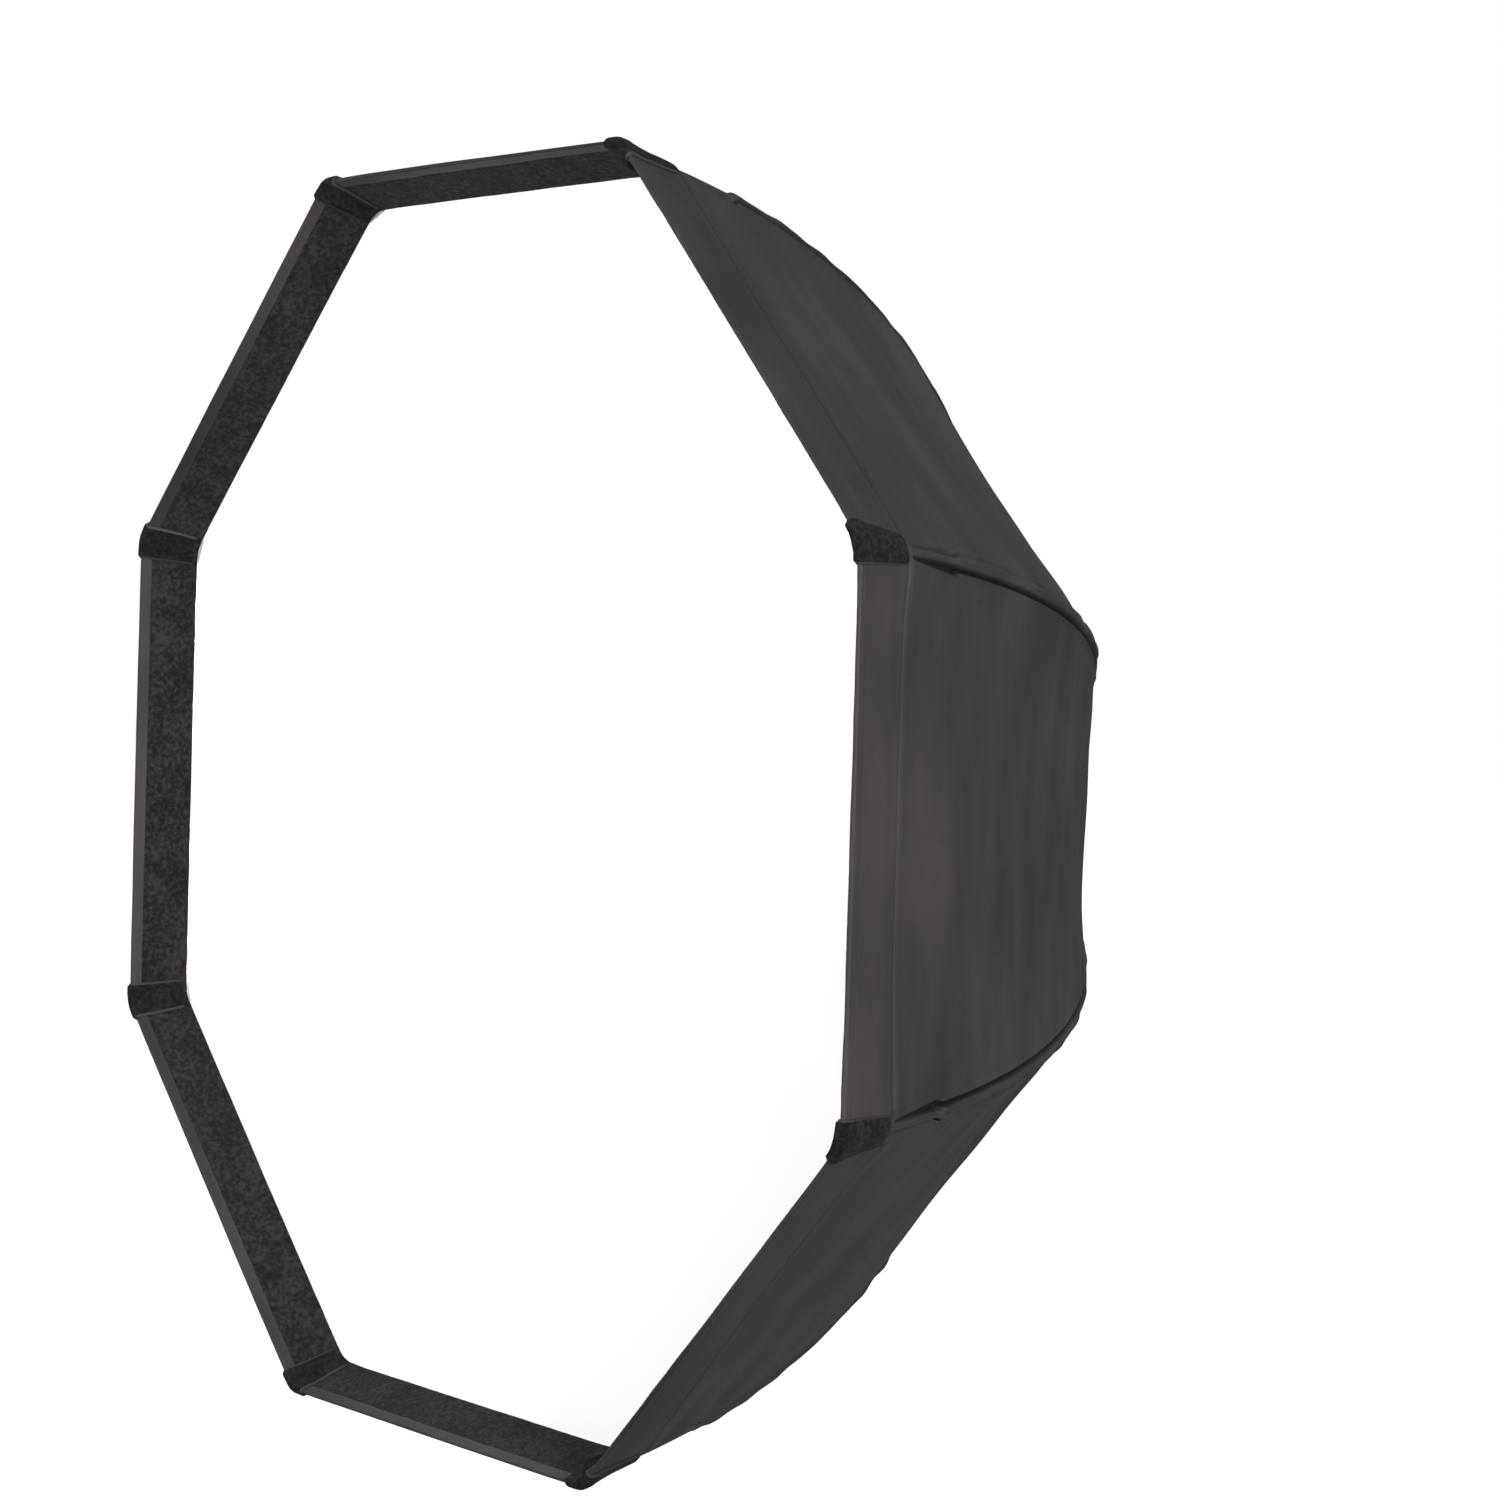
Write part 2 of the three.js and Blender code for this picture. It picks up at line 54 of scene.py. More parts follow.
RIBS = 8
STEP = 2 * math.pi / RIBS
RIM_R = 0.600
RIM_AHEAD = 0.580          # ahead of the plane of the rib pivots
REAR = 0.020
PIVOT_R = 0.0815
RIM_ANGLE = math.radians(14)
ROOT_ANGLE = math.radians(75)
RIM_PULL = 0.202
ROOT_PULL = 0.402
RIB_DEPTH = 0.0085
HEM_R = 0.097
DIFFUSER_BACK = 0.049

# ---- camera: where it stands, fitted to the photo's outline ----

AZIMUTH, ELEVATION, ROLL = (math.radians(a) for a in (52.04, 1.864, 1.740))
DISTANCE = 3.286           # from the middle of the rim, before the two shifts
SHIFT_ASIDE, SHIFT_UP = 0.2609, 0.0532
LENS_MM, SENSOR_MM = 90.9, 36


def make_camera():
    back = Vector((math.sin(AZIMUTH) * math.cos(ELEVATION),
                   -math.cos(AZIMUTH) * math.cos(ELEVATION), math.sin(ELEVATION)))
    right = Vector((math.cos(AZIMUTH), math.sin(AZIMUTH), 0))
    up = back.cross(right)
    x = right * math.cos(ROLL) + up * math.sin(ROLL)
    y = up * math.cos(ROLL) - right * math.sin(ROLL)
    rim_centre = Vector((0, -(REAR + RIM_AHEAD), 0))
    data = bpy.data.cameras.new("camera")
    data.lens, data.sensor_width = LENS_MM, SENSOR_MM
    data.clip_end = 100
    camera = bpy.data.objects.new("camera", data)
    camera.matrix_world = Matrix((
        (x.x, y.x, back.x, 0), (x.y, y.y, back.y, 0), (x.z, y.z, back.z, 0), (0, 0, 0, 1)))
    camera.location = rim_centre + back * DISTANCE + right * SHIFT_ASIDE + up * SHIFT_UP
    bpy.context.scene.collection.objects.link(camera)
    bpy.context.scene.camera = camera


make_camera()

# ---- numbers: smooth steps, bumps and a seeded lattice noise ----


def smooth(low, high, x):
    """0 up to low, 1 from high on, and an even curve between them; low may be the larger one."""
    t = np.clip((x - low) / (high - low), 0, 1)
    return t * t * (3 - 2 * t)


def bump(x, width):
    """A rounded peak of height 1 at x = 0."""
    return np.exp(-((x / width) ** 2))


def lattice(ix, iy, iz):
    """A fixed value from -1 to 1 for each point of a whole-number lattice."""
    h = (ix * 374761393 + iy * 668265263 + iz * 1442695041) & 0xFFFFFFFF
    h = ((h ^ (h >> 13)) * 1274126177) & 0xFFFFFFFF
    h = ((h ^ (h >> 16)) * 2246822519) & 0xFFFFFFFF
    return ((h ^ (h >> 15)) & 0xFFFFFF) / 0xFFFFFF * 2 - 1


def noise(x, y, z=0.0):
    """Smooth noise from -1 to 1 with one bump per unit."""
    x, y, z = np.broadcast_arrays(np.asarray(x, float), y, z)
    cell = [np.floor(a).astype(np.int64) for a in (x, y, z)]
    part = [a - c for a, c in zip((x, y, z), cell)]
    part = [t * t * t * (t * (6 * t - 15) + 10) for t in part]
    total = 0.0
    for i in (0, 1):
        for j in (0, 1):
            for k in (0, 1):
                share = ((part[0] if i else 1 - part[0])
                         * (part[1] if j else 1 - part[1])
                         * (part[2] if k else 1 - part[2]))
                total = total + share * lattice(cell[0] + i, cell[1] + j, cell[2] + k)
    return total


def ridges(x, y, z=0.0):
    """Sharp creases, from 0 in the hollows to 1 on the folds."""
    return (1 - np.abs(noise(x, y, z))) ** 2


# ---- the shell's curve ----


def bezier(t):
    """(radius, y) along the rib seam, for t from 0 at the pivot to 1 at the rim."""
    root_dir = np.array((math.sin(ROOT_ANGLE), -math.cos(ROOT_ANGLE)))
    rim_dir = np.array((math.sin(RIM_ANGLE), -math.cos(RIM_ANGLE)))
    outside = np.array((math.cos(ROOT_ANGLE), math.sin(ROOT_ANGLE)))
    root = np.array((PIVOT_R, -REAR)) + outside * RIB_DEPTH
    rim = np.array((RIM_R, -(REAR + RIM_AHEAD)))
    a, b = root + root_dir * ROOT_PULL, rim - rim_dir * RIM_PULL
    t = np.asarray(t, float)[..., None]
    u = 1 - t
    return u ** 3 * root + 3 * u * u * t * a + 3 * u * t * t * b + t ** 3 * rim


CURVE = bezier(np.linspace(0, 1, 3001))
CURVE_RUN = np.concatenate(([0], np.cumsum(np.hypot(*np.diff(CURVE, axis=0).T))))
HEM_RUN = float(np.interp(HEM_R, CURVE[:, 0], CURVE_RUN))
LENGTH = float(CURVE_RUN[-1]) - HEM_RUN      # along a rib seam, rear hem to rim


def on_curve(run):
    """(radius, y) of the rib seam, this far along it from the rear hem. It runs on straight past its ends."""
    s = np.asarray(run, float) + HEM_RUN
    inside = np.clip(s, 0, CURVE_RUN[-1])
    p = np.stack([np.interp(inside, CURVE_RUN, CURVE[:, i]) for i in (0, 1)], -1)
    return p + slope(run) * (s - inside)[..., None]


def slope(run):
    """Direction of the rib seam, towards the rim."""
    s = np.clip(np.asarray(run, float) + HEM_RUN, 1e-4, CURVE_RUN[-1] - 1e-4)
    step = 5e-4
    ends = [np.stack([np.interp(s + d, CURVE_RUN, CURVE[:, i]) for i in (0, 1)], -1)
            for d in (-step, step)]
    d = ends[1] - ends[0]
    return d / np.linalg.norm(d, axis=-1, keepdims=True)


def run_at_radius(r):
    """How far along the seam it reaches this radius."""
    return float(np.interp(r, CURVE[:, 0], CURVE_RUN)) - HEM_RUN


def run_at_back(back):
    """How far along the seam it is this far behind the rim."""
    return float(np.interp(-(REAR + RIM_AHEAD - back), CURVE[::-1, 1], CURVE_RUN[::-1])) - HEM_RUN


TAN_HALF = math.tan(STEP / 2)
CORNER_ROUND = 0.005       # how softly the cloth turns over a rib, and how much more so at the rim


def corner_round(run):
    """How softly the cloth turns over a rib: more so at the rim, where the tab pulls the corner in."""
    return CORNER_ROUND + CORNER_ROUND * smooth(LENGTH - 0.17, LENGTH - 0.05, np.asarray(run, float))


def sheet_point(run, v):
    """The shell's middle surface beside a rib at angle 0: v is 0 on the rib and 1 in mid-panel."""
    r, y = np.moveaxis(on_curve(run), -1, 0)
    z = r * math.sin(STEP / 2) * math.cos(STEP / 2) * v
    x = r - TAN_HALF * np.sqrt(z * z + corner_round(run) ** 2)
    return np.stack(np.broadcast_arrays(x, y, z), -1)


def sheet_normal(run, v):
    """Unit normals of that surface, looking out of the box."""
    e = 1e-3
    along = sheet_point(run + e, v) - sheet_point(run - e, v)
    across = sheet_point(run, v + e) - sheet_point(run, v - e)
    n = np.cross(along, across)
    n /= np.linalg.norm(n, axis=-1, keepdims=True)
    return n * np.sign(n[..., :1])


def turned(points, rib):
    """Points made beside a rib at angle 0, turned to rib number 0 to 7."""
    angle = STEP * (rib + 0.5)
    c, s = math.cos(angle), math.sin(angle)
    x, y, z = np.moveaxis(points, -1, 0)
    return np.stack((x * c - z * s, y, x * s + z * c), -1)


# ---- meshes ----


def mesh_piece(name, points, faces, materials, indices=None, uvs=None, normals=None):
    """A mesh object: `uvs` has one pair for each corner of each face, and `normals` one for each point."""
    mesh = bpy.data.meshes.new(name)
    mesh.from_pydata([tuple(p) for p in points], [], [tuple(int(i) for i in f) for f in faces])
    for m in materials:
        mesh.materials.append(m)
    if indices is not None:
        mesh.polygons.foreach_set("material_index", np.asarray(indices, np.int32))
    mesh.polygons.foreach_set("use_smooth", np.ones(len(mesh.polygons), bool))
    if uvs is not None:
        mesh.uv_layers.new(name="cloth").data.foreach_set("uv", np.asarray(uvs, np.float32).ravel())
    mesh.update()
    if normals is not None:
        mesh.normals_split_custom_set_from_vertices([tuple(n) for n in normals])
    obj = bpy.data.objects.new(name, mesh)
    bpy.context.scene.collection.objects.link(obj)
    return obj


def loop_grid(rows, columns):
    """Quads of a grid whose rows, an even number, close on themselves, and its two end caps."""
    i = np.arange(rows)[:, None] * columns
    j = np.arange(columns - 1)[None, :]
    n = (np.roll(np.arange(rows), -1)[:, None]) * columns
    quads = np.stack([np.broadcast_to(q, (rows, columns - 1)) for q in
                      (i + j, i + j + 1, n + j + 1, n + j)], -1).reshape(-1, 4)
    ends = []
    last = columns - 1
    for k in range(rows // 2 - 1):
        a, b, c, d = (row * columns for row in (k, k + 1, rows - 2 - k, rows - 1 - k))
        ends.append((a, b, c, d))
        ends.append((d + last, c + last, b + last, a + last))
    return np.concatenate((quads, np.array(ends)))


def ring_grid(rows, columns):
    """Quads of a grid that closes on itself both ways."""
    i, j = np.arange(rows)[:, None], np.arange(columns)[None, :]
    i2, j2 = (i + 1) % rows, (j + 1) % columns
    return np.stack(np.broadcast_arrays(
        i * columns + j, i * columns + j2, i2 * columns + j2, i2 * columns + j), -1).reshape(-1, 4)


def facing_out(points, faces):
    """The faces of a closed mesh, turned over if they look inwards."""
    corners = points[faces] - points.mean(0)
    volume = np.einsum("ij,ij->i", corners[:, 0], np.cross(corners[:, 1], corners[:, 2])).sum()
    return faces if volume > 0 else faces[:, ::-1]


def grid_normals(p):
    """Normals of a looped grid that has one spare column at each side."""
    down = np.roll(p, -1, 0) - np.roll(p, 1, 0)
    across = p[:, 2:] - p[:, :-2]
    n = np.cross(across, down[:, 1:-1])
    return n / np.maximum(np.linalg.norm(n, axis=-1, keepdims=True), 1e-12)


# ---- materials ----


class Nodes:
    """A material's node tree, with short calls for what every finish here uses."""

    def __init__(self, name, **shader):
        self.material = bpy.data.materials.new(name)
        self.material.use_nodes = True
        self.tree = self.material.node_tree
        self.shader = self.tree.nodes["Principled BSDF"]
        for key, value in shader.items():
            self.shader.inputs[key.replace("_", " ")].default_value = value
        self.place = self.tree.nodes.new("ShaderNodeTexCoord").outputs["Object"]
        self.height = None

    def new(self, kind, **settings):
        """A shader node of this kind."""
        made = self.tree.nodes.new("ShaderNode" + kind)
        for key, value in settings.items():
            setattr(made, key, value)
        return made

    def link(self, out, to):
        self.tree.links.new(out, to)

    def uv(self):
        """Places every later texture by the cloth's own coordinates."""
        self.place = self.new("UVMap", uv_map="cloth").outputs["UV"]

    def mapped(self, scale):
        """The texture place, stretched."""
        m = self.new("Mapping")
        m.inputs["Scale"].default_value = scale
        self.link(self.place, m.inputs["Vector"])
        return m.outputs["Vector"]

    def noise(self, scale, detail=4.0, stretch=(1, 1, 1), rough=0.5):
        n = self.new("TexNoise")
        n.inputs["Scale"].default_value = scale
        n.inputs["Detail"].default_value = detail
        n.inputs["Roughness"].default_value = rough
        self.link(self.mapped(stretch), n.inputs["Vector"])
        return n.outputs["Fac"]

    def threads(self, pitch, axis):
        """Threads side by side along an axis, this far apart in metres."""
        w = self.new("TexWave", wave_type="BANDS", bands_direction=axis, wave_profile="SIN")
        w.inputs["Scale"].default_value = 1 / (pitch * 2)
        w.inputs["Distortion"].default_value = 0.6
        w.inputs["Detail"].default_value = 1
        w.inputs["Detail Scale"].default_value = 2
        self.link(self.place, w.inputs["Vector"])
        return w.outputs["Fac"]

    def maths(self, operation, a, b):
        """A maths node on two sockets or numbers."""
        m = self.new("Math", operation=operation)
        for socket, value in zip(m.inputs, (a, b)):
            if isinstance(value, (int, float)):
                socket.default_value = value
            else:
                self.link(value, socket)
        return m.outputs[0]

    def ramp(self, fac, stops):
        """Colours for a factor, from (place, colour) stops."""
        r = self.new("ValToRGB")
        elements = r.color_ramp.elements
        while len(elements) < len(stops):
            elements.new(0.5)
        for e, (at, colour) in zip(elements, stops):
            e.position = at
            e.color = (*colour, 1)
        self.link(fac, r.inputs["Fac"])
        return r.outputs["Color"]

    def scaled(self, colour, by):
        """A colour times a factor."""
        m = self.new("VectorMath", operation="SCALE")
        self.link(colour, m.inputs[0])
        self.link(by, m.inputs["Scale"])
        return m.outputs["Vector"]

    def colour(self, socket):
        self.link(socket, self.shader.inputs["Base Color"])

    def rough(self, fac, low, high):
        """Roughness from low to high as the factor goes from 0 to 1."""
        m = self.new("MapRange")
        m.inputs["To Min"].default_value = low
        m.inputs["To Max"].default_value = high
        self.link(fac, m.inputs["Value"])
        self.link(m.outputs["Result"], self.shader.inputs["Roughness"])

    def bump(self, height, strength, distance):
        """Relief from a height; each later call adds to the ones before."""
        b = self.new("Bump")
        b.inputs["Strength"].default_value = strength
        b.inputs["Distance"].default_value = distance
        self.link(height, b.inputs["Height"])
        if self.height is not None:
            self.link(self.height, b.inputs["Normal"])
        self.height = b.outputs["Normal"]
        self.link(self.height, self.shader.inputs["Normal"])


def grey(level):
    return (level, level, level)


def tinted(level):
    """The faint reddish purple of black nylon."""
    return (level * 1.08, level * 0.94, level * 0.98)


# Painted shade: FOLD_SHADE sets how far the cloth's colour is darkened deep in the sewn folds.
FOLD_SHADE = 0.78          # how much darker the cloth is deep in a sewn fold
WEAVE_PITCH = 0.0011


def shell_cloth():
    """Black nylon with soft streaks along the seams' direction, partly its own random tone and partly painted
    shade, and with painted shade making it darker where the folds are.
    """
    m = Nodes("shell_cloth", Sheen_Weight=0.015, Sheen_Roughness=0.4, Specular_IOR_Level=0.16)
    m.uv()
    streaks = m.noise(20, 3, (1, 0.28, 1))
    patches = m.noise(5, 3)
    mix = m.maths("ADD", m.maths("MULTIPLY", streaks, 0.5), m.maths("MULTIPLY", patches, 0.5))
    folds = m.new("Attribute", attribute_name="folds").outputs["Fac"]
    # Partly painted shade: the streaks' colour is lighter where their relief (the same noise as the bump
    # below) is high and darker where it is low, on top of random tone.
    cloth = m.ramp(mix, [(0.39, (0.0205, 0.0178, 0.0188)), (0.5, (0.0278, 0.0243, 0.0257)),
                         (0.61, (0.0365, 0.0320, 0.0337))])
    # Painted shade: the colour is darkened by the folds attribute deep in the sewn folds.
    m.colour(m.scaled(cloth, m.maths("SUBTRACT", 1.0, m.maths("MULTIPLY", folds, FOLD_SHADE))))
    m.rough(patches, 0.50, 0.66)
    weave = m.maths("MULTIPLY", m.threads(WEAVE_PITCH, "X"), m.threads(WEAVE_PITCH, "Y"))
    m.bump(streaks, 0.3, 0.003)
    m.bump(weave, 0.22, 0.0003)
    return m.material


def tape_cloth(name, level, scale):
    """Black hook or loop tape with lint in it."""
    m = Nodes(name, Sheen_Weight=0.015, Sheen_Roughness=0.6, Specular_IOR_Level=0.08)
    fuzz = m.noise(scale, 5, rough=0.7)
    lint = m.maths("ADD", m.maths("MULTIPLY", m.noise(240, 4), 0.7),
                   m.maths("MULTIPLY", m.noise(35, 3), 0.3))
    m.colour(m.ramp(lint, [(0.41, tinted(level * 0.55)), (0.50, tinted(level * 0.95)),
                           (0.60, tinted(level * 1.65))]))
    m.rough(fuzz, 0.85, 1.0)
    m.bump(fuzz, 0.8, 0.0012)
    return m.material


def silver_lining():
    """Crinkled silver foil on cloth, its colour painted dark in the crinkles' hollows and bright on their
    rises as painted shade and painted reflections.
    """
    m = Nodes("silver_lining", Metallic=1.0)
    m.uv()
    crushed = m.noise(6, 4, (1, 0.8, 1), 0.5)
    # Painted shade and painted reflection: the foil's colour follows the crinkles' relief, dark in the
    # hollows and bright on the rises.
    m.colour(m.ramp(crushed, [(0.37, (0.26, 0.26, 0.275)), (0.45, (0.62, 0.62, 0.64)),
                              (0.53, (0.93, 0.93, 0.94)), (0.62, (0.70, 0.70, 0.72))]))
    m.rough(m.noise(30, 4), 0.14, 0.30)
    m.bump(crushed, 0.8, 0.020)
    m.bump(m.noise(22, 3), 0.5, 0.0030)
    m.bump(m.noise(110, 3), 0.2, 0.0003)
    return m.material


def diffuser_cloth():
    """White translucent nylon."""
    m = Nodes("diffuser_cloth", Specular_IOR_Level=0.2, Sheen_Weight=0.1)
    m.colour(m.ramp(m.noise(3, 3), [(0.3, (0.93, 0.93, 0.93)), (0.7, (0.96, 0.96, 0.96))]))
    fine = m.noise(700, 2)
    m.rough(fine, 0.85, 0.98)
    m.bump(fine, 0.15, 0.0003)
    m.bump(m.noise(6, 2), 0.15, 0.01)
    return m.material


def metal(name, colour, rough, scratch=0.25):
    """Bare or anodised metal, a little stained and scratched."""
    m = Nodes(name, Metallic=1.0)
    grain = m.noise(160, 5, rough=0.65)
    stains = m.noise(20, 4)
    low, high = [tuple(c * k for c in colour) for k in (0.88, 1.06)]
    m.colour(m.ramp(stains, [(0.3, low), (0.7, high)]))
    m.rough(m.maths("ADD", m.maths("MULTIPLY", grain, 0.6), m.maths("MULTIPLY", stains, 0.4)),
            rough - 0.1, rough + 0.14)
    m.bump(grain, scratch, 0.0002)
    return m.material


def plastic(name, level):
    """Moulded plastic with a fine grain."""
    m = Nodes(name, Specular_IOR_Level=0.45)
    grain = m.noise(900, 3, rough=0.6)
    m.colour(m.ramp(m.noise(40, 3), [(0.3, grey(level * 0.85)), (0.7, grey(level * 1.15))]))
    m.rough(grain, 0.42, 0.62)
    m.bump(grain, 0.3, 0.0003)
    return m.material


def webbing(name, level):
    """Woven tape or thread with ribs across it."""
    m = Nodes(name, Sheen_Weight=0.15, Specular_IOR_Level=0.3)
    ribs = m.threads(0.0016, "X")
    m.colour(m.ramp(m.noise(50, 3), [(0.3, grey(level * 0.9)), (0.7, grey(min(level * 1.08, 0.95)))]))
    m.rough(m.noise(300, 3), 0.6, 0.85)
    m.bump(ribs, 0.4, 0.0004)
    m.bump(m.noise(500, 3), 0.4, 0.0003)
    return m.material


CLOTH = shell_cloth()
LOOP_TAPE = tape_cloth("loop_tape", 0.0155, 420)
HOOK_TAPE = tape_cloth("hook_tape", 0.0090, 330)
LINING = silver_lining()
WHITE = diffuser_cloth()
STEEL = metal("rod_steel", (0.66, 0.67, 0.68), 0.24)
ALLOY = metal("ring_alloy", (0.50, 0.50, 0.51), 0.36, 0.35)
THREAD = webbing("black_thread", 0.012)
BLACK_TAPE = webbing("black_webbing", 0.012)
WHITE_TAPE = webbing("white_webbing", 0.8)
KNOB = plastic("knob_plastic", 0.02)

# ---- the shell: eight gores, each half a panel on either side of its rib ----

LIP_RUN = LENGTH - run_at_back(DIFFUSER_BACK)
STITCH = run_at_back(0.060)         # the line sewn round the shell, over the diffuser's tape
SLEEVE_MOUTH = STITCH - 0.066       # the rods come out of their sleeves here
SLEEVE_HALF = 0.0062       # half the width between the sleeve's two stitch lines
HEM_FOLD = 0.0085          # the shell's cloth turned in over the rim
HALF_PANEL = math.sin(STEP / 2) * math.cos(STEP / 2)     # of the corner's radius
EDGE_ROWS = 4              # round the rim's hem
FAR_COLUMNS = 24           # from beside the sleeve to mid-panel
PANEL_SAG = 0.0050         # how far a panel hangs in between its ribs
AHEAD = np.array((0.0, -1.0, 0.0))
SLEEVE_FROM = run_at_radius(0.235)      # inside, the cloth covers the rods from here on
LAYERS = 0.0016            # cloth and lining together
ROD_REACH = RIB_DEPTH + 0.0042      # how deep a sleeve stands over its rod


def gore_rows():
    """Places along the seam, close together where something is sewn."""
    stretches = ((0, 0.024, 0.003), (0.024, SLEEVE_MOUTH - 0.012, 0.0066),
                 (SLEEVE_MOUTH - 0.012, STITCH - 0.006, 0.0030), (STITCH - 0.006, STITCH + 0.006, 0.0007),
                 (STITCH + 0.006, LENGTH - 0.013, 0.0036), (LENGTH - 0.013, LENGTH, 0.0009))
    rows = [np.linspace(a, b, math.ceil((b - a) / step), endpoint=False) for a, b, step in stretches]
    return np.concatenate(rows + [[LENGTH]])


def gore_columns(half):
    """Places beside the rib, from one mid-panel to the next, for one or more half widths."""
    near = np.concatenate((np.linspace(0, 0.0044, 5), np.linspace(0.0052, 0.0092, 9),
                           np.linspace(0.0104, 0.0170, 5)))
    half = np.asarray(half, float)[:, None]
    share = np.linspace(0, 1, FAR_COLUMNS + 1)[1:] ** 1.15
    side = np.concatenate((near + 0 * half, near[-1] + (half - near[-1]) * share), 1)
    spare = 2 * side[:, -1:] - side[:, -2:-1]
    side = np.concatenate((side, spare), 1)
    return np.concatenate((-side[:, :0:-1], side), 1)


RUNS = gore_rows()
ROWS = len(RUNS) - 1


def panel_place(v, rib):
    """(panel number, place across it from 0 to 1) for the two halves beside a rib."""
    right = v >= 0
    return np.where(right, rib, (rib - 1) % RIBS), np.where(right, v / 2, 1 + v / 2)


def outside_height(run, v, z, rib):
    """How far the outer cloth stands off the middle surface."""
    panel, across = panel_place(v, rib)
    off = np.abs(z)
    share = run / LENGTH
    back = LENGTH - run
    sag = PANEL_SAG * smooth(0.02, 0.4, share) * smooth(1.0, 0.80, share)
    h = -sag * (1 - (1 - np.minimum(np.abs(v), 2 - np.abs(v))) ** 2)
    free = smooth(0.008, 0.050, off)
    calm = 1 - 0.75 * smooth(LIP_RUN + 0.020, LIP_RUN - 0.010, back)
    h += 0.0030 * calm * free * noise(run / 0.085, across * 1.3, panel * 9.7)
    h += 0.0018 * calm * free * noise(run / 0.034, across * 1.8, panel * 5.3 + 40)
    h += 0.0010 * calm * free * noise(run / 0.2 + across * 5, across * 3, panel * 3.1 + 80)
    sleeve = smooth(SLEEVE_MOUTH + 0.004, SLEEVE_MOUTH - 0.003, run)
    near = np.exp(-off / 0.026) * smooth(0.009, 0.014, off)
    busy = 0.5 + 0.9 * smooth(0.70, 0.85, share) + 0.5 * bump(share, 0.12)
    h += 0.0024 * near * busy * calm * noise(run / 0.017, z / 0.05, rib * 4.4 + 11)
    pucker = noise(run / 0.019, rib * 3.7) * smooth(0.012, 0.004, off)
    h += sleeve * (0.0030 + 0.0012 * pucker) * smooth(SLEEVE_HALF + 0.0006, SLEEVE_HALF - 0.0018, off)
    h -= 0.0042 * sleeve * bump(off - SLEEVE_HALF - 0.0010, 0.0011)
    h += 0.0012 * sleeve * bump(off - SLEEVE_HALF - 0.0038, 0.0017)
    h += bare_rod(run, off, sewn_deep(v, rib))
    h -= 0.0011 * bump(run - STITCH, 0.0010) * smooth(0.004, 0.012, off)
    h += 0.0007 * bump(run - STITCH + 0.0055, 0.003)
    h += 0.0006 * bump(run - STITCH - 0.0055, 0.003)
    h += 0.0007 * smooth(HEM_FOLD + 0.0008, HEM_FOLD - 0.0008, back)
    h -= 0.0006 * bump(back - HEM_FOLD, 0.0009)
    return h


def bare_rod(run, off, strength):
    """The cloth falls away beside the rod between its sleeve's mouth and the stitched line."""
    t = np.clip((STITCH - 0.004 - run) / (STITCH - 0.004 - SLEEVE_MOUTH), 0, 1)
    open_mouth = smooth(SLEEVE_MOUTH - 0.004, SLEEVE_MOUTH + 0.002, run)
    beside = rod_gap(off, t)
    ridge = 0.0010 * bump(off, 0.0035) * smooth(0.0, 0.15, t)
    return open_mouth * (ridge - 0.0062 * strength * t ** 0.5 * beside)


def rod_gap(off, t):
    """1 in the hollow beside the rod: t is 0 at the stitched line and 1 at the sleeve's mouth."""
    return smooth(0.0028, 0.0050, off) * smooth(0.0075 + 0.0055 * t, 0.0052 + 0.0030 * t, off)


def sewn_deep(v, rib):
    """1 on the side of a sleeve that is sewn down tightest, towards the last panel, and 0.5 on the other; it
    sets how deep the hollow beside the rod falls and how much painted shade that side gets.
    """
    return np.where((v < 0) == (rib < RIBS // 2), 1.0, 0.5)


def painted_fold_shade(run, v, z, rib):
    """Painted shade: how much darker the cloth's colour is made, 1 deep in the folds that are sewn in, 0
    elsewhere.
    """
    off = np.abs(z)
    deep = sewn_deep(v, rib)
    sleeve = smooth(SLEEVE_MOUTH + 0.002, SLEEVE_MOUTH - 0.002, run)
    # Painted shade in the hollows beside the sleeve's stitch lines, wider and darker on the sleeve's deep
    # side.
    line = bump(off - SLEEVE_HALF - 0.0008, 0.0008 + 0.0010 * (deep - 0.5) * 2)
    dark = sleeve * (line * deep + 0.30 * (1 - deep) * bump(off - 0.0030, 0.0006))
    # Painted shade in the hollow beside the bare rod, between the sleeve's mouth and the stitched line.
    t = np.clip((STITCH - 0.003 - run) / (STITCH - 0.003 - SLEEVE_MOUTH), 0, 1)
    mouth = smooth(SLEEVE_MOUTH - 0.002, SLEEVE_MOUTH + 0.001, run) * smooth(0.0, 0.03, t)
    dark += mouth * deep * rod_gap(off, t)
    # Painted shade along the groove of the stitched line.
    dark += 0.45 * bump(run - STITCH, 0.0008)
    return np.clip(dark, 0, 1)


